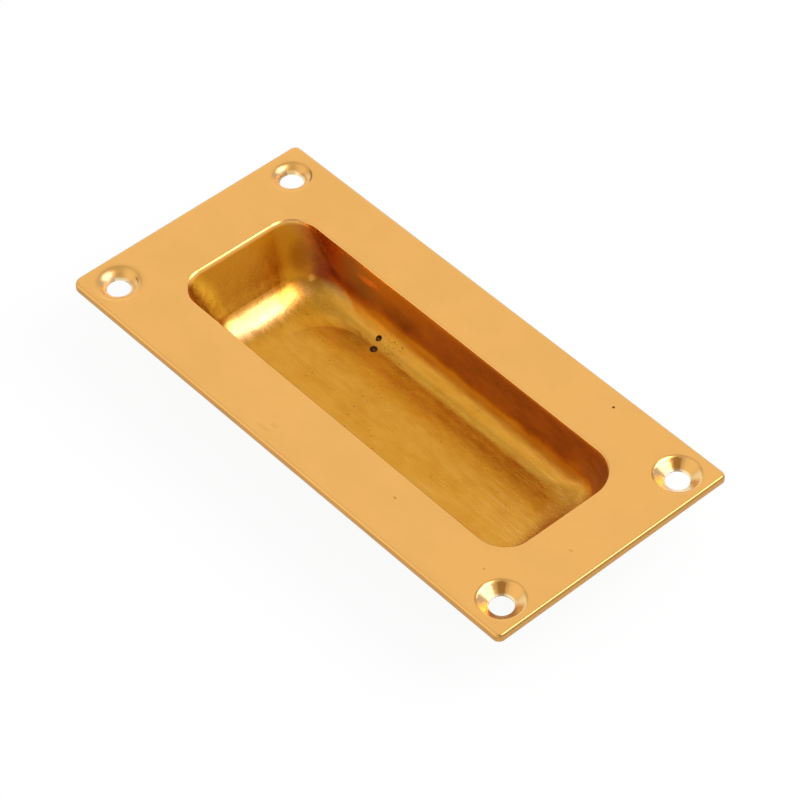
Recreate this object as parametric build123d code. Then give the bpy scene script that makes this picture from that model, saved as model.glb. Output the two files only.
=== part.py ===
"""Cast brass flush pull for a sliding door, modelled as the single casting that it is.

A flat rectangular plate carries a long finger recess. Behind the plate the recess is a pan of even
wall that sits in the door's mortise. Four screw holes take wood screws: two are crisp countersinks,
and buffing has worn the two at the left end into soft dishes.

Millimetres. X runs along the plate, Y across it and Z out of the door. Left and right are the ends
along X, bottom and top the edges along Y. The origin is the middle of the plate and of its four
holes, on the plate's back face, which lies on the face of the door.
"""
from build123d import *
from math import atan2, cos, pi, radians, sin, sqrt, tan
import os

# Plate, with its corners listed from the bottom left anticlockwise
plate_length = 102.0
plate_width = 48.4
plate_thickness = 1.7
plate_corner_radii = [1.8, 1.2, 1.2, 1.2]
plate_edge_radius = 0.5
back_bevel = 0.5

# Screw holes, with margins from the plate's edges to the hole centres
hole_end_margin = 5.35
hole_side_margin = 5.6
hole_diameter = 4.0
countersink_diameter = 7.8
countersink_depth = 1.5
countersink_rim_radius = 1.2

# Worn dishes of the two left holes, as deep as the countersinks, with the rim's slope in degrees
worn_rim_slope = 3.0
bottom_worn_diameter = 9.0
top_worn_diameter = 7.8

# Mouth of the recess, with the borders of plate left around it and its turn in degrees on the plate
left_border = 12.2
right_border = 11.1
bottom_border = 11.65
top_border = 11.0
mouth_turn = -0.35
mouth_corner_radii = [5.0, 5.2, 6.3, 5.0]
lip_radius = 0.35

# Walls and floor of the recess, with its depth below the plate's face and drafts in degrees
recess_depth = 11.8
side_draft = 1.0
side_blend_width = 3.6
side_blend_height = 3.4
left_end_draft = 31.0
right_end_draft = 22.0
end_blend_width = 5.0
end_blend_height = 3.7

# Straight lengths between the floor's corners at its ends
left_floor_flat = 0.6
right_floor_flat = 6.0

# Pan behind the plate
pan_wall = 1.8
pan_root_radius = 1.2

# Casting pores by the top wall: place along X from the mouth's middle, distance from the rim, radius
pores = [
    (-15.4, 4.0, 0.62),
    (-16.4, 2.05, 0.45),
]

# Steps of the loft through the blend between walls and floor
blend_steps = 8

hole_x = plate_length / 2 - hole_end_margin
hole_y = plate_width / 2 - hole_side_margin
mouth_length = plate_length - left_border - right_border
mouth_width = plate_width - bottom_border - top_border
mouth_middle = ((left_border - right_border) / 2, (bottom_border - top_border) / 2)
mouth_place = Pos(*mouth_middle) * Rot(0, 0, mouth_turn)


def rounded_outline(length, width, radii):
    """Face of a rectangle whose four corners each have their own radius."""
    x, y = length / 2, width / 2
    return make_face(FilletPolyline((-x, -y), (x, -y), (x, y), (-x, y), radius=radii, close=True))


def inset(level, depth, draft, blend_width, blend_height):
    """How far a wall has come in from the rim at a level below it: its draft and an elliptic blend."""
    rise = max(0.0, 1 - (depth - level) / blend_height)
    return level * tan(radians(draft)) + blend_width * (1 - sqrt(1 - rise**2))


def end_inset(level, wall, draft):
    """Inset of an end wall, inside the recess or outside its wall."""
    return inset(level, recess_depth + wall, draft, end_blend_width + wall, end_blend_height + wall)


def side_inset(level, wall):
    """Inset of the long walls, inside the recess or outside its wall."""
    return inset(level, recess_depth + wall, side_draft, side_blend_width + wall, side_blend_height + wall)


def tray_section(level, wall):
    """Outline of the recess at a level below the face, or of the pan where it has a wall."""
    depth = recess_depth + wall
    left, right = (end_inset(level, wall, draft) for draft in (left_end_draft, right_end_draft))
    length = mouth_length + 2 * wall - left - right
    width = mouth_width + 2 * (wall - side_inset(level, wall))
    floor_width = mouth_width + 2 * (wall - side_inset(depth, wall))
    floor_radii = [(floor_width - flat) / 2
                   for flat in (left_floor_flat, right_floor_flat, right_floor_flat, left_floor_flat)]
    radii = [at_rim + wall + (at_floor - at_rim - wall) * level / depth
             for at_rim, at_floor in zip(mouth_corner_radii, floor_radii)]
    place = mouth_place * Pos((left - right) / 2, 0, plate_thickness - level)
    return place * rounded_outline(length, width, radii)


def tray(wall):
    """Solid with drafted walls and a blended floor, hanging from the plate's face."""
    depth = recess_depth + wall
    blend = max(end_blend_height, side_blend_height) + wall
    turns = [pi / 2 * step / blend_steps for step in range(blend_steps + 1)]
    sections = [tray_section(depth - blend * (1 - sin(turn)), wall) for turn in turns]
    walls = loft([tray_section(0, wall), sections[0]], ruled=True)
    return walls + loft(sections)


def plate():
    """Flat plate with small round corners, polished round its face and bevelled round its back."""
    blank = extrude(rounded_outline(plate_length, plate_width, plate_corner_radii), plate_thickness)
    blank = chamfer(blank.faces().sort_by(Axis.Z)[0].edges(), back_bevel)
    return fillet(blank.faces().sort_by(Axis.Z)[-1].edges(), plate_edge_radius)


def bore():
    """Cutter of a screw's clearance hole."""
    return Cylinder(hole_diameter / 2, 4 * plate_thickness)


def countersink():
    """Cutter of a crisp countersunk hole, whose cone turns into the face over a small radius."""
    radius, rim, low = hole_diameter / 2, countersink_diameter / 2, plate_thickness - countersink_depth
    slope = atan2(countersink_depth, rim - radius)
    turn = countersink_rim_radius * tan(slope / 2)
    start = (rim + turn, plate_thickness)
    end = (rim - turn * cos(slope), plate_thickness - turn * sin(slope))
    roll = TangentArc(start, end, tangent=(-1, 0))
    sides = Polyline(end, (radius, low), (0, low), (0, plate_thickness), start)
    return bore() + revolve(Plane.XZ * make_face(roll + sides), Axis.Z)


def worn_dish(diameter):
    """Cutter of a hole whose countersink rolls from the face into the bore."""
    radius, rim, low = hole_diameter / 2, diameter / 2, plate_thickness - countersink_depth
    slope = radians(worn_rim_slope)
    roll = TangentArc((rim, plate_thickness), (radius, low), tangent=(-cos(slope), -sin(slope)))
    sides = Polyline((radius, low), (0, low), (0, plate_thickness), (rim, plate_thickness))
    return bore() + revolve(Plane.XZ * make_face(roll + sides), Axis.Z)


def screw_holes():
    """Cutters of the four holes, worn at the left end and crisp at the right."""
    return [Pos(-hole_x, -hole_y) * worn_dish(bottom_worn_diameter),
            Pos(-hole_x, hole_y) * worn_dish(top_worn_diameter),
            Pos(hole_x, -hole_y) * countersink(),
            Pos(hole_x, hole_y) * countersink()]


def pore_level(from_rim):
    """Level of the recess surface below the face at a distance from the top rim."""
    into_blend = max(0.0, side_blend_width + recess_depth * tan(radians(side_draft)) - from_rim)
    return recess_depth - side_blend_height * (1 - sqrt(1 - (into_blend / side_blend_width)**2))


def casting_pores():
    """Round pits that gas left in the metal."""
    return [mouth_place * Pos(x, mouth_width / 2 - from_rim, plate_thickness - pore_level(from_rim))
            * Sphere(radius) for x, from_rim, radius in pores]


def flush_pull():
    """The whole casting: plate and pan joined by a root fillet, then the recess and the holes."""
    casting = plate() + tray(pan_wall)
    plate_back = casting.faces().filter_by(Plane.XY).sort_by(Axis.Z)[-2]
    casting = fillet(plate_back.inner_wires()[0].edges(), pan_root_radius)

    casting -= tray(0)
    face = casting.faces().filter_by(Plane.XY).sort_by(Axis.Z)[-1]
    casting = fillet(face.inner_wires()[0].edges(), lip_radius)

    for cutter in screw_holes() + casting_pores():
        casting -= cutter
    return casting


os.makedirs("parts", exist_ok=True)
export_step(flush_pull(), "parts/flush_pull.step")
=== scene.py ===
import math

import bpy
from bpy.props import FloatProperty, FloatVectorProperty, PointerProperty
from bpy.types import Operator, Panel, PropertyGroup
from mathutils import Matrix, Quaternion, Vector


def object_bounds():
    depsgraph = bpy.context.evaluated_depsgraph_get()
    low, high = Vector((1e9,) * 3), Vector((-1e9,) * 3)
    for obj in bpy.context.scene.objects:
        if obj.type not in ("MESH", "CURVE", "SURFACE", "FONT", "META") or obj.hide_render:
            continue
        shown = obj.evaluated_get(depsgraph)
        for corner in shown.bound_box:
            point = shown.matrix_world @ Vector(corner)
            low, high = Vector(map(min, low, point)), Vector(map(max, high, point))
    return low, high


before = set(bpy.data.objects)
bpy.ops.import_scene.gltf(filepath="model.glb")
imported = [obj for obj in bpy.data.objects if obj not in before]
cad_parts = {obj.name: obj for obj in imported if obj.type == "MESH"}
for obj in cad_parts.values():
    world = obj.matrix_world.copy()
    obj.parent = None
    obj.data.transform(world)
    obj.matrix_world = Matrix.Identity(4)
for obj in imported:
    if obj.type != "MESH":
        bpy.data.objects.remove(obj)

bl_info = {
    "name": "Flush pull",
    "version": (1, 0, 0),
    "blender": (4, 5, 0),
    "location": "3D View > Sidebar > Flush pull",
    "description": "Finishes a cast brass flush pull and sets its studio",
    "category": "Object",
}

NODE = "flush_pull"
CAD_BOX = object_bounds()
MILLIMETRE = 0.001

# Millimetres in the row frame, as in the CAD
FACE_LEVEL = 1.7
PLATE_HALF = (51.0, 24.2)
PLATE_CORNER = 1.2
MOUTH_MIDDLE = (0.55, 0.325)
MOUTH_HALF = (39.35, 12.875)
MOUTH_CORNER = 5.2
HOLE_AT = (45.65, 18.6)
BORE_RADIUS = 2.0
COUNTERSINK_RADIUS = 3.9

# Worn roll of the left lip, its sharper turn at the rim and the plate's worn edge: breadth and drop
LIP_ROLL = (3.4, 0.13)
LIP_TURN = (0.7, 0.06)
WORN_EDGE = (1.1, 0.13)

# Depths of the recess's grain, the polish's swirls, the countersinks' turned rings and the file marks
GRAIN_DEPTH = 0.006
POLISH_DEPTH = 0.02
TURNED_DEPTH = 0.012
FILED_DEPTH = 0.05

# Levels between which the left end wall's colour and the far wall's tarnish set in, and how far the
# clouds push stained edges about
END_WALL_FOOT = (-9.4, -8.4)
TARNISH_FOOT = (-7.0, -5.2)
CLOUD_PUSH = 2.2

# Brown strip painted along the floor as a dark reflection: where it fades in and out across the floor,
# its right end and its tint
STRIP_NEAR = (2.0, 5.4)
STRIP_FAR = (9.8, 7.6)
STRIP_END = (30.2, 28.8)
REFLECTED_STRIP_TINT = (0.98, 0.89, 0.50)

# Stains in the recess and painted highlights, reflections and shade there: middle, half sizes, tint of
# the colour there, strength
STAINS_AND_PAINTED_REFLECTIONS = [
    ((-32.6, -1.0, -8.5), (2.7, 11.0, 1.7), (1.25, 1.45, 6.0), 0.97),
    ((-34.4, -0.5, -6.2), (2.2, 9.5, 1.5), (1.25, 1.50, 1.9), 0.8),
    ((-35.8, -10.2, -4.0), (4.2, 3.6, 5.2), (1.80, 2.70, 3.2), 0.9),
    ((-36.5, 8.3, -2.2), (2.6, 3.2, 4.4), (0.82, 0.70, 0.60), 0.7),
    ((-34.6, 10.5, -4.6), (1.7, 1.7, 3.4), (0.62, 0.48, 0.55), 0.85),
    ((-34.5, 12.0, -2.8), (3.6, 3.2, 5.0), (1.10, 1.10, 0.35), 0.9),
    ((-25.6, 12.8, -2.8), (6.6, 2.0, 4.8), (0.30, 0.46, 1.8), 0.9),
    ((-27.8, 12.2, -6.4), (4.6, 2.2, 1.9), (0.62, 0.46, 0.7), 0.9),
    ((-20.7, 12.8, -1.4), (2.4, 1.2, 0.7), (2.40, 1.70, 1.3), 0.95),
    ((-13.0, 12.8, -3.6), (5.0, 1.4, 1.6), (0.76, 0.70, 0.8), 0.8),
    ((4.0, 12.8, 1.0), (32.0, 1.4, 0.7), (1.12, 1.22, 1.0), 0.8),
    ((2.0, 12.6, -7.8), (31.0, 2.2, 1.0), (1.26, 1.80, 2.3), 0.85),
    ((33.0, 12.4, -5.6), (4.0, 2.2, 2.2), (1.35, 1.80, 1.8), 0.8),
    ((4.0, 8.8, -10.1), (24.0, 1.3, 0.8), (1.25, 1.55, 1.4), 0.85),
]

# Bright spot in the recess's left corner, painted shade over the highlight of the plate's right edge and
# small marks on the plate: middle, half sizes, tint of the colour there
SPOTS = [
    ((-31.9, 10.8, -7.1), (0.65, 0.65, 0.8), (1.50, 1.90, 3.80)),
    ((50.85, 0.0, 1.65), (0.35, 40.0, 0.3), (0.50, 0.50, 0.60)),
    ((28.9, 21.1, 1.7), (0.24, 0.24, 0.5), (0.15, 0.13, 0.15)),
    ((19.77, -16.81, 1.7), (0.30, 0.16, 0.5), (0.60, 0.55, 0.50)),
    ((45.77, -4.38, 1.7), (0.40, 0.15, 0.5), (0.82, 0.78, 0.70)),
    ((39.49, -16.49, 1.7), (0.30, 0.15, 0.5), (0.75, 0.70, 0.65)),
    ((-5.2, -22.2, 1.7), (1.3, 0.4, 0.5), (0.95, 0.93, 0.90)),
    ((-4.2, -20.6, 1.7), (0.8, 0.3, 0.5), (0.96, 0.94, 0.90)),
]

# Share of its radius over which a spot, a patch of stain and painted reflection, and a pore fade
SPOT_FADE = 0.55
STAIN_AND_REFLECTION_FADE = 1.1
PORE_FADE = 0.35

# Casting pores, middle and radius, and the finely pitted place beside them, middle and half sizes
PORES = [((-14.8, 9.25, -10.1), 0.72), ((-15.8, 11.2, -9.7), 0.55)]
PITTED = ((-12.6, 11.2, -9.2), (3.0, 1.4, 2.0))

# Thin dark curved lines: middle of the arc, its radius, middle and half sizes of the part that shows
ARCS = [
    ((-45.65, -18.6), 3.15, (-43.6, -16.2, 1.2), (1.5, 1.1, 1.5)),
    ((-45.65, 18.6), 3.35, (-43.5, 21.0, 1.2), (1.6, 1.3, 1.5)),
    ((45.65, -18.6), 3.95, (42.4, -20.4, 1.6), (1.9, 1.9, 1.0)),
    ((45.65, 18.6), 3.95, (42.6, 16.4, 1.6), (1.9, 1.9, 1.0)),
]

# Tint of the far left side of the right holes' countersinks
SHADED_TINT = (0.72, 0.56, 0.40)

# Heights of direction between which the sky turns into the horizon
HORIZON_HEIGHTS = (0.62, 0.3)

# Patches of the sky: direction, change of its level, angles in degrees where it fades out and in
SKY_PATCHES = [
    ((-0.515, 0.45, 0.729), 0.38, 32.0, 13.0),
    ((0.42, -0.35, 0.83), -0.08, 32.0, 18.0),
    ((-0.36, -0.58, 0.73), 0.42, 38.0, 12.0),
]

# Studio floor: length of its sides in metres, how white the camera and reflections see it, matt white
FLOOR_SIZE = 6.0
FLOOR_SEEN = 0.93
MATT_WHITE = (0.8, 0.8, 0.8, 1.0)
WHITE = (1.0, 1.0, 1.0, 1.0)


class Graph:
    """Builds a shader tree. Every method adds nodes and gives back an output socket."""

    def __init__(self, tree):
        self.tree = tree
        tree.nodes.clear()

    def add(self, kind, inputs=None, output=0, **settings):
        node = self.tree.nodes.new(kind)
        for name, value in settings.items():
            setattr(node, name, value)
        for name, value in (inputs or {}).items():
            if isinstance(value, bpy.types.NodeSocket):
                self.tree.links.new(value, node.inputs[name])
            elif value is not None:
                node.inputs[name].default_value = value
        return node.outputs[output]

    def show(self, shader, kind):
        """Ends the tree in an output node of this kind."""
        self.tree.links.new(shader, self.tree.nodes.new(kind).inputs["Surface"])

    def math(self, operation, a, b=None, clamp=False):
        return self.add("ShaderNodeMath", {0: a, 1: b}, operation=operation, use_clamp=clamp)

    def times(self, *factors):
        """Product of all the factors."""
        product = factors[0]
        for factor in factors[1:]:
            product = self.math("MULTIPLY", product, factor)
        return product

    def total(self, *parts):
        """Sum of all the parts."""
        total = parts[0]
        for part in parts[1:]:
            total = self.math("ADD", total, part)
        return total

    def step(self, value, start, end, low=0.0, high=1.0):
        """Smooth change from low to high while the value goes from start to end."""
        return self.add("ShaderNodeMapRange", {"Value": value, "From Min": start, "From Max": end,
                                               "To Min": low, "To Max": high},
                        interpolation_type="SMOOTHSTEP")

    def vector(self, operation, a, b=None, output=0):
        return self.add("ShaderNodeVectorMath", {0: a, 1: b}, output=output, operation=operation)

    def length(self, a):
        return self.vector("LENGTH", a, output=1)

    def split(self, vector):
        """The three numbers of a vector."""
        outputs = self.add("ShaderNodeSeparateXYZ", {0: vector}).node.outputs
        return outputs["X"], outputs["Y"], outputs["Z"]

    def join(self, x, y, z):
        return self.add("ShaderNodeCombineXYZ", {0: x, 1: y, 2: z})

    def blob(self, place, middle, half_sizes, fade=SPOT_FADE):
        """1 inside an ellipsoid and 0 outside it, fading over a share of its radius."""
        away = self.length(self.vector("DIVIDE", self.vector("SUBTRACT", place, middle), half_sizes))
        return self.step(away, 1.0 + fade / 2, 1.0 - fade / 2)

    def noise(self, place, stretch, detail=2.0, roughness=0.5):
        """Noise from 0 to 1, whose grain is as long along X, Y and Z as the stretch says."""
        scaled = self.vector("DIVIDE", place, stretch)
        return self.add("ShaderNodeTexNoise", {"Vector": scaled, "Scale": 1.0, "Detail": detail,
                                               "Roughness": roughness})

    def mix(self, factor, a, b, blend="MIX"):
        """Colour between a and b. A colour may be a socket or three numbers."""
        node = self.tree.nodes.new("ShaderNodeMix")
        node.data_type = "RGBA"
        node.blend_type = blend
        for index, value in ((0, factor), (6, a), (7, b)):
            if isinstance(value, bpy.types.NodeSocket):
                self.tree.links.new(value, node.inputs[index])
            else:
                node.inputs[index].default_value = value if index == 0 else (*value, 1.0)
        return node.outputs[2]

    def tinted(self, factor, colour, tint):
        """The colour, multiplied by the tint as far as the factor says."""
        return self.mix(factor, colour, tint, "MULTIPLY")


class Casting:
    """Distances in millimetres on the casting, and masks of its areas: 1 inside an area and 0 outside."""

    def __init__(self, g):
        self.place = g.vector("SCALE", g.add("ShaderNodeTexCoord", output=3))
        self.place.node.inputs["Scale"].default_value = 1.0 / MILLIMETRE
        self.x, self.y, self.z = g.split(self.place)
        lean_x, lean_y, lean_z = g.split(g.add("ShaderNodeNewGeometry", output=1))
        from_middle = [g.math("SUBTRACT", value, at)
                       for value, at in zip((self.x, self.y), MOUTH_MIDDLE)]

        self.from_lip = self.outside(g, from_middle, MOUTH_HALF, MOUTH_CORNER)
        self.from_edge = self.outside(g, (self.x, self.y), PLATE_HALF, PLATE_CORNER)
        beside = [g.math("SUBTRACT", g.math("ABSOLUTE", value), at)
                  for value, at in zip((self.x, self.y), HOLE_AT)]
        self.from_hole = g.length(g.join(*beside, 0.0))

        # Inside the recess the surface faces its middle, and outside the pan it faces away
        inward = g.total(g.times(lean_z, 25.0), g.times(lean_x, from_middle[0], -1.0),
                         g.times(lean_y, from_middle[1], -1.0))
        self.recess = g.times(g.step(inward, -1.0, 1.0), g.step(self.from_lip, 0.3, -0.1),
                              g.step(self.z, FACE_LEVEL - 0.1, FACE_LEVEL - 0.8))
        self.behind = g.times(g.step(inward, 0.5, -0.5), g.step(self.z, 0.3, 0.0))
        self.far_wall = g.times(self.recess, g.step(lean_y, -0.35, -0.8))
        self.end_wall = g.times(self.recess, g.step(lean_x, 0.3, 0.7))
        self.right = g.step(self.x, 5.0, 31.0)
        self.side = g.times(g.step(self.from_edge, -0.6, -0.35), g.step(lean_z, 0.75, 0.35))
        self.bore = g.step(self.from_hole, BORE_RADIUS + 0.35, BORE_RADIUS + 0.05)

        # Sides of the countersinks, told apart by which way their cones lean
        self.cone = g.times(g.step(self.from_hole, COUNTERSINK_RADIUS + 0.4, COUNTERSINK_RADIUS),
                            g.step(lean_z, 0.97, 0.85))
        # Right side of each countersink, where a lighter colour is painted in as a reflection
        self.right_sheen = g.times(self.cone, g.step(lean_x, -0.15, -0.40))
        # Left side of each countersink, where a paler colour is painted in to make its highlight cream
        self.highlight_side = g.times(self.cone, g.step(lean_x, 0.18, 0.40),
                              g.step(g.total(g.times(lean_x, 0.33), lean_y), -0.06, 0.02))
        self.shaded = g.times(self.cone, self.right, g.step(lean_x, 0.34, 0.38),
                              g.step(lean_y, -0.28, -0.36))

    @staticmethod
    def outside(g, place, half_sizes, corner):
        """Distance outside a rounded rectangle, less than 0 inside it."""
        over = [g.math("SUBTRACT", g.math("ABSOLUTE", value), half - corner)
                for value, half in zip(place, half_sizes)]
        beyond = g.length(g.join(*[g.math("MAXIMUM", value, 0.0) for value in over], 0.0))
        within = g.math("MINIMUM", g.math("MAXIMUM", *over), 0.0)
        return g.math("SUBTRACT", g.total(beyond, within), corner)


def darker(colour, share):
    """A colour with each of its numbers cut to this share."""
    return tuple(share * value for value in colour)


def recess_colour(g, area, clouds, streaks, push, settings):
    """Clouded floor with brush streaks and a brown strip of painted reflection, left end wall and
    tarnished far wall.
    """
    colour = g.mix(g.step(clouds, 0.35, 0.75), settings.floor_colour, settings.cloud_colour)
    brushed = g.times(g.step(streaks, 0.45, 0.75), g.total(g.times(area.right, 0.5), 0.2))
    colour = g.mix(brushed, colour, settings.face_colour)
    colour = g.mix(g.times(area.end_wall, g.step(area.z, *END_WALL_FOOT)), colour, settings.end_colour)
    # Painted reflection: a brown strip along the floor
    reflected_strip = g.times(g.step(area.y, *STRIP_NEAR), g.step(area.y, *STRIP_FAR), g.step(area.x, *STRIP_END))
    colour = g.tinted(g.times(reflected_strip, 0.85), colour, REFLECTED_STRIP_TINT)
    tarnished = g.times(area.far_wall, g.step(g.total(area.z, push), *TARNISH_FOOT))
    wall = g.mix(g.step(clouds, 0.3, 0.7), settings.wall_colour, darker(settings.wall_colour, 0.75))
    return g.mix(tarnished, colour, wall)


def arc_marks(g, place):
    """Thin dark curved lines beside the holes."""
    marks = 0.0
    for (x, y), radius, middle, half_sizes in ARCS:
        across = g.vector("MULTIPLY", g.vector("SUBTRACT", place, (x, y, 0.0)), (1.0, 1.0, 0.0))
        line = g.step(g.math("ABSOLUTE", g.math("SUBTRACT", g.length(across), radius)), 0.22, 0.05)
        marks = g.total(g.times(line, g.blob(place, middle, half_sizes)), marks)
    return marks


def dirt_mask(g, area, clouds, push):
    """Specks and fine pits in the recess, casting pores and thin dark arcs beside the holes."""
    specks = g.add("ShaderNodeTexVoronoi", {"Vector": area.place, "Scale": 0.9})
    specks = g.times(g.step(specks, 0.14, 0.08), area.recess, g.step(clouds, 0.48, 0.6))
    pits = g.times(g.step(g.noise(area.place, (0.35, 0.35, 0.35), 2.0), 0.58, 0.66),
                   g.blob(area.place, *PITTED), area.recess)
    dirt = g.math("MAXIMUM", g.times(specks, 0.55), g.times(pits, 0.6))
    ragged = g.vector("ADD", area.place, g.join(*[g.times(push, 0.45)] * 3))
    for middle, radius in PORES:
        dirt = g.math("MAXIMUM", dirt, g.blob(ragged, middle, (radius,) * 3, PORE_FADE))
    return g.math("MAXIMUM", dirt, g.times(arc_marks(g, area.place), 0.65))


def brass_colour(g, area, settings):
    """Colour of the whole casting, and the mask of its dirt."""
    mottle = g.noise(area.place, (9.0, 7.0, 7.0), 3.0)
    face = g.mix(g.step(mottle, 0.35, 0.65), settings.face_colour, darker(settings.face_colour, 0.97))
    clouds = g.noise(area.place, (5.0, 3.0, 3.0), 4.0, 0.6)
    streaks = g.noise(area.place, (9.0, 0.22, 0.22), 3.0, 0.6)
    push = g.times(g.math("SUBTRACT", clouds, 0.5), CLOUD_PUSH)
    colour = g.mix(area.recess, face, recess_colour(g, area, clouds, streaks, push, settings))

    uneven = g.vector("ADD", area.place, g.join(push, 0.0, push))
    # Stains in the recess, and highlights, reflections and shade painted into its colour as tints at
    # fixed places
    for middle, half_sizes, tint, strength in STAINS_AND_PAINTED_REFLECTIONS:
        stain_and_reflection = g.times(g.blob(uneven, middle, half_sizes, STAIN_AND_REFLECTION_FADE), area.recess, strength)
        colour = g.tinted(stain_and_reflection, colour, tint)
    # Marks on the plate, a bright spot in the recess, and painted shade over the right edge's highlight
    for middle, half_sizes, tint in SPOTS:
        colour = g.tinted(g.blob(area.place, middle, half_sizes), colour, tint)

    dirt = dirt_mask(g, area, clouds, push)
    colour = g.mix(dirt, colour, settings.dirt_colour)
    # Painted reflection: the countersinks' right sides made lighter
    colour = g.mix(area.right_sheen, colour, settings.right_sheen_colour)
    # Painted sheen: the bores made paler than brass can be
    colour = g.mix(area.bore, colour, settings.bore_sheen_colour)
    # Painted highlight: a paler colour on the countersinks' left sides
    colour = g.mix(g.times(area.highlight_side, 0.9), colour, settings.highlight_side_colour)
    colour = g.tinted(area.shaded, colour, SHADED_TINT)
    # Sides of the plate: file marks, and a darker colour painted on as shade
    filed = g.times(area.side, g.step(streaks, 0.3, 0.7, 0.5, 1.0))
    colour = g.mix(filed, colour, settings.side_shade_colour)
    return g.mix(area.behind, colour, settings.back_colour), dirt


def rolled(g, away, breadth, drop):
    """Height of a surface that rolls off towards a rim, down by the drop at the rim itself."""
    near = g.math("SUBTRACT", 1.0, g.math("DIVIDE", away, breadth), clamp=True)
    return g.times(near, near, -drop)


def brass_height(g, area, settings):
    """Small forms in millimetres: rolled lip and edge, brush marks, hollows and skin as cast."""
    place = area.place
    lip = g.times(g.total(rolled(g, area.from_lip, *LIP_ROLL), rolled(g, area.from_lip, *LIP_TURN)),
                  g.step(area.x, -31.0, -38.0))
    edge = g.times(rolled(g, g.times(area.from_edge, -1.0), *WORN_EDGE),
                   g.step(area.z, FACE_LEVEL - 0.7, FACE_LEVEL - 0.1))

    brushed = g.times(g.noise(place, (8.0, 0.18, 0.18), 4.0, 0.65), area.recess,
                      g.total(g.times(area.right, settings.brush_depth), settings.brush_depth * 0.4))
    grain = g.times(g.noise(place, (0.3, 0.3, 0.3)), area.recess, GRAIN_DEPTH)
    hollows = g.times(g.noise(place, (4.5, 3.0, 3.0), 2.0), area.recess, settings.hollow_depth)
    polish = g.times(g.noise(place, (16.0, 11.0, 11.0), 1.0), POLISH_DEPTH)
    rings = g.add("ShaderNodeTexNoise", {"W": area.from_hole, "Scale": 7.0}, noise_dimensions="1D")
    turned = g.times(rings, area.cone, TURNED_DEPTH)
    filed = g.times(g.noise(place, (0.35, 0.35, 2.0), 3.0), area.side, FILED_DEPTH)
    cast = g.times(g.noise(place, (0.6, 0.6, 0.6), 4.0, 0.6), area.behind, settings.cast_depth)
    return g.total(lip, edge, brushed, grain, hollows, polish, turned, filed, cast)


def brass_roughness(g, area, dirt, settings):
    """Buffed on the face, duller in the recess and the worn dishes, dullest in dirt and behind."""
    cloud = g.step(g.noise(area.place, (3.0, 1.0, 1.0), 3.0), 0.3, 0.7, -0.05, 0.05)
    recess = g.times(area.recess, g.total(cloud, settings.recess_roughness - settings.face_roughness))
    tarnish = g.times(area.far_wall, 0.12)
    worn = g.times(area.cone, g.math("SUBTRACT", 1.0, area.right), 0.12)
    return g.total(recess, tarnish, worn, g.times(dirt, 0.35), g.times(area.side, 0.15),
                   g.times(area.behind, 0.25), settings.face_roughness)


def worn_brass(settings):
    """Buffed cast brass: bright on the face, tarnished on the far wall and left as cast behind."""
    material = bpy.data.materials.new("worn brass")
    material.use_nodes = True
    g = Graph(material.node_tree)
    area = Casting(g)
    colour, dirt = brass_colour(g, area, settings)
    height = brass_height(g, area, settings)
    bumped = g.add("ShaderNodeBump", {"Height": height, "Distance": MILLIMETRE, "Strength": 1.0})
    surface = g.add("ShaderNodeBsdfPrincipled", {
        "Base Color": colour, "Roughness": brass_roughness(g, area, dirt, settings), "Normal": bumped,
        "Metallic": 1.0})
    g.show(surface, "ShaderNodeOutputMaterial")
    return material


def pale_floor():
    """Matt white floor that the camera and reflections see as near white, with the object's shadow."""
    material = bpy.data.materials.new("pale floor")
    material.use_nodes = True
    g = Graph(material.node_tree)
    path = g.add("ShaderNodeLightPath").node.outputs
    seen = g.math("MAXIMUM", path["Is Camera Ray"], path["Is Glossy Ray"])
    seen = g.math("MULTIPLY", g.math("MAXIMUM", seen, path["Is Transmission Ray"]), FLOOR_SEEN)
    matt = g.add("ShaderNodeBsdfDiffuse", {"Color": MATT_WHITE})
    white = g.add("ShaderNodeEmission", {"Color": WHITE, "Strength": 1.0})
    shown = g.add("ShaderNodeMixShader", {0: seen, 1: matt, 2: white})
    g.show(shown, "ShaderNodeOutputMaterial")
    return material


def studio_world(settings):
    """Soft sky with brighter and darker patches over a bright horizon; the camera sees it plain white."""
    world = bpy.data.worlds.new("studio")
    bpy.context.scene.world = world
    world.use_nodes = True
    g = Graph(world.node_tree)
    toward = g.add("ShaderNodeTexCoord")
    level = g.step(g.split(toward)[2], *HORIZON_HEIGHTS, settings.sky_level, settings.horizon_level)
    for direction, change, outer, inner in SKY_PATCHES:
        cosine = g.vector("DOT_PRODUCT", toward, tuple(Vector(direction).normalized()), output=1)
        outside, inside = math.cos(math.radians(outer)), math.cos(math.radians(inner))
        level = g.math("ADD", g.step(cosine, outside, inside, 0.0, change), level)
    seen = g.add("ShaderNodeLightPath").node.outputs["Is Camera Ray"]
    strength = g.total(g.times(level, g.math("SUBTRACT", 1.0, seen)), seen)
    sky = g.add("ShaderNodeBackground", {"Color": WHITE, "Strength": strength})
    g.show(sky, "ShaderNodeOutputWorld")


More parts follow.
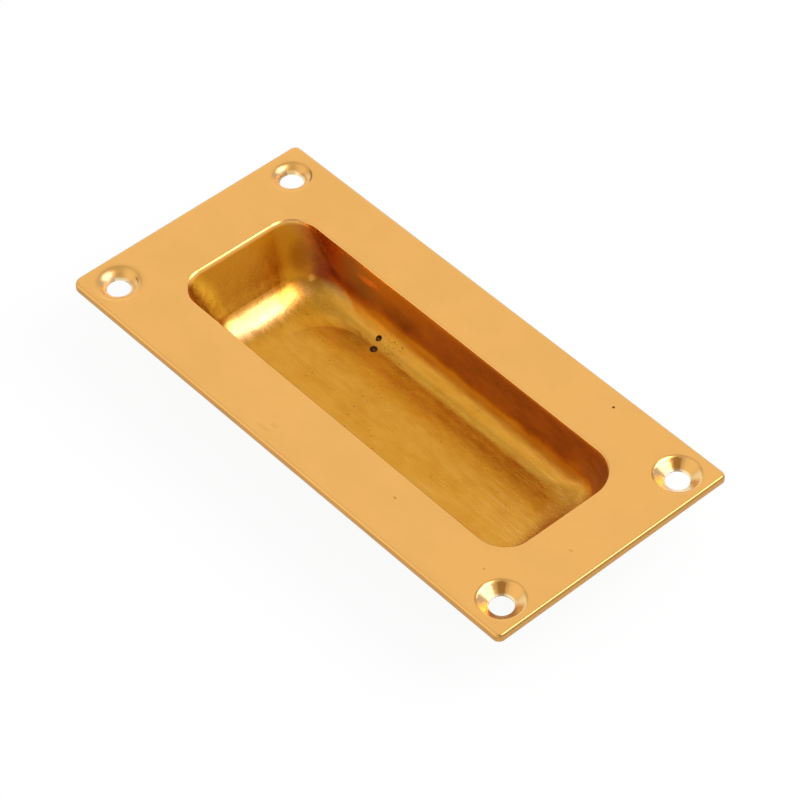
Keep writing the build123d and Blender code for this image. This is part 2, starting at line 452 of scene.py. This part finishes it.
class PullSettings(PropertyGroup):
    """Colours and finish of the casting."""
    face_colour: FloatVectorProperty(
        name="Face colour", description="Buffed brass of the face",
        default=(0.84, 0.445, 0.124), subtype="COLOR")
    floor_colour: FloatVectorProperty(
        name="Floor colour", description="Brass in the recess",
        default=(0.66, 0.312, 0.035), subtype="COLOR")
    cloud_colour: FloatVectorProperty(
        name="Cloud colour", description="Darker clouds in the recess",
        default=(0.61, 0.258, 0.022), subtype="COLOR")
    wall_colour: FloatVectorProperty(
        name="Wall colour", description="Tarnished brass of the far wall",
        default=(0.47, 0.165, 0.060), subtype="COLOR")
    end_colour: FloatVectorProperty(
        name="End colour", description="Brass of the recess's left end wall",
        default=(0.52, 0.20, 0.014), subtype="COLOR")
    # Lighter colour painted on the countersinks' right sides as a reflection
    right_sheen_colour: FloatVectorProperty(
        name="Right sheen colour", description="Right side of the countersinks",
        default=(0.93, 0.64, 0.28), subtype="COLOR")
    # Bright brass of the bores, painted paler than brass can be as a sheen
    bore_sheen_colour: FloatVectorProperty(
        name="Bore colour", description="Bright brass in the screw holes",
        default=(0.95, 0.80, 0.50), subtype="COLOR")
    # Paler colour painted on the countersinks' left sides as a highlight colour
    highlight_side_colour: FloatVectorProperty(
        name="Highlight side colour", description="Pale left side of the countersinks",
        default=(0.50, 0.33, 0.17), subtype="COLOR")
    # Darker colour painted on the plate's sides as shade, besides their file marks
    side_shade_colour: FloatVectorProperty(
        name="Side colour", description="Filed sides of the plate",
        default=(0.52, 0.27, 0.075), subtype="COLOR")
    dirt_colour: FloatVectorProperty(
        name="Dirt colour", description="Dirt in pores, pits and tool marks",
        default=(0.09, 0.032, 0.011), subtype="COLOR")
    back_colour: FloatVectorProperty(
        name="Back colour", description="Brass left as cast behind the plate",
        default=(0.42, 0.23, 0.08), subtype="COLOR")
    face_roughness: FloatProperty(
        name="Face roughness", description="Roughness of the buffed face",
        default=0.22, min=0.0, max=1.0)
    recess_roughness: FloatProperty(
        name="Recess roughness", description="Roughness inside the recess",
        default=0.27, min=0.0, max=1.0)
    brush_depth: FloatProperty(
        name="Brush depth", description="Depth in mm of the lengthwise brush marks",
        default=0.018, min=0.0)
    hollow_depth: FloatProperty(
        name="Hollow depth", description="Depth in mm of hollows in the recess",
        default=0.05, min=0.0)
    cast_depth: FloatProperty(
        name="Cast depth", description="Depth in mm of the skin as cast behind",
        default=0.08, min=0.0)


class StudioSettings(PropertyGroup):
    """Sky, softbox and camera."""
    sky_level: FloatProperty(
        name="Sky level", description="Strength of the sky away from its patches",
        default=0.64, min=0.0)
    horizon_level: FloatProperty(
        name="Horizon level", description="Strength of the sky near the horizon",
        default=1.0, min=0.0)
    softbox_direction: FloatVectorProperty(
        name="Softbox direction", description="From the pull to the softbox",
        default=(0.455, 0.475, 0.75), subtype="DIRECTION")
    softbox_along: FloatVectorProperty(
        name="Softbox along", description="Direction of the softbox's long side",
        default=(0.17, -0.51, 0.24), subtype="DIRECTION")
    softbox_distance: FloatProperty(
        name="Softbox distance", description="From the pull to the softbox",
        default=0.6, min=0.1, unit="LENGTH")
    softbox_length: FloatProperty(
        name="Softbox length", description="Long side of the softbox",
        default=0.50, min=0.01, unit="LENGTH")
    softbox_width: FloatProperty(
        name="Softbox width", description="Short side of the softbox",
        default=0.34, min=0.01, unit="LENGTH")
    softbox_power: FloatProperty(
        name="Softbox power", description="Power of the softbox in watts",
        default=3.0, min=0.0)
    camera_place: FloatVectorProperty(
        name="Camera place", description="Where the photograph was taken from",
        default=(0.29136, -0.25275, 0.40702), subtype="XYZ", unit="LENGTH")
    camera_ray: FloatVectorProperty(
        name="Camera ray", description="Direction of the photograph's middle",
        default=(-0.51518, 0.45025, -0.72922), subtype="DIRECTION")
    camera_roll: FloatProperty(
        name="Camera roll", description="Turn of the camera about its own view",
        default=math.radians(-1.10), subtype="ANGLE")
    camera_lens: FloatProperty(
        name="Camera lens", description="Focal length in millimetres",
        default=158.87, min=1.0)


class PULL_OT_finish(Operator):
    """Give the casting its worn brass"""
    bl_idname = "pull.finish_casting"
    bl_label = "Finish casting"

    def execute(self, context):
        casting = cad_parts[NODE]
        casting.data.materials.clear()
        casting.data.materials.append(worn_brass(context.scene.pull))
        return {"FINISHED"}


class PULL_OT_stage(Operator):
    """Add the floor, the light and the photograph's camera"""
    bl_idname = "pull.set_stage"
    bl_label = "Set stage"

    def execute(self, context):
        settings = context.scene.studio
        bpy.ops.mesh.primitive_plane_add(size=FLOOR_SIZE, location=(0.0, 0.0, CAD_BOX[0].z))
        floor = context.object
        floor.name = "floor"
        floor.data.materials.append(pale_floor())
        studio_world(settings)

        lamp = bpy.data.lights.new("softbox", "AREA")
        lamp.shape = "RECTANGLE"
        lamp.size = settings.softbox_length
        lamp.size_y = settings.softbox_width
        lamp.energy = settings.softbox_power
        softbox = bpy.data.objects.new("softbox", lamp)
        toward = Vector(settings.softbox_direction).normalized()
        softbox.location = toward * settings.softbox_distance
        across = toward.cross(Vector(settings.softbox_along)).normalized()
        softbox.rotation_euler = Matrix((across.cross(toward), across, toward)).transposed().to_euler()
        softbox.visible_camera = False
        context.scene.collection.objects.link(softbox)

        view = bpy.data.cameras.new("camera")
        view.sensor_width = 36.0
        view.lens = settings.camera_lens
        view.clip_start = 0.01
        camera = bpy.data.objects.new("camera", view)
        camera.location = settings.camera_place
        camera.rotation_mode = "QUATERNION"
        aim = Vector(settings.camera_ray).to_track_quat("-Z", "Y")
        camera.rotation_quaternion = aim @ Quaternion((0.0, 0.0, 1.0), settings.camera_roll)
        context.scene.collection.objects.link(camera)
        context.scene.camera = camera
        context.scene.view_settings.view_transform = "Standard"
        return {"FINISHED"}


class PULL_PT_panel(Panel):
    """Buttons and settings of the flush pull"""
    bl_idname = "PULL_PT_panel"
    bl_label = "Flush pull"
    bl_space_type = "VIEW_3D"
    bl_region_type = "UI"
    bl_category = "Flush pull"

    def draw(self, context):
        scene = context.scene
        for settings, operator in ((scene.pull, PULL_OT_finish), (scene.studio, PULL_OT_stage)):
            for name in settings.__annotations__:
                self.layout.prop(settings, name)
            self.layout.operator(operator.bl_idname)


CLASSES = (PullSettings, StudioSettings, PULL_OT_finish, PULL_OT_stage, PULL_PT_panel)


def register():
    for cls in CLASSES:
        bpy.utils.register_class(cls)
    bpy.types.Scene.pull = PointerProperty(type=PullSettings)
    bpy.types.Scene.studio = PointerProperty(type=StudioSettings)


def unregister():
    del bpy.types.Scene.studio
    del bpy.types.Scene.pull
    for cls in reversed(CLASSES):
        bpy.utils.unregister_class(cls)


def main():
    register()
    bpy.ops.pull.finish_casting()
    bpy.ops.pull.set_stage()


if __name__ == "__main__":
    main()
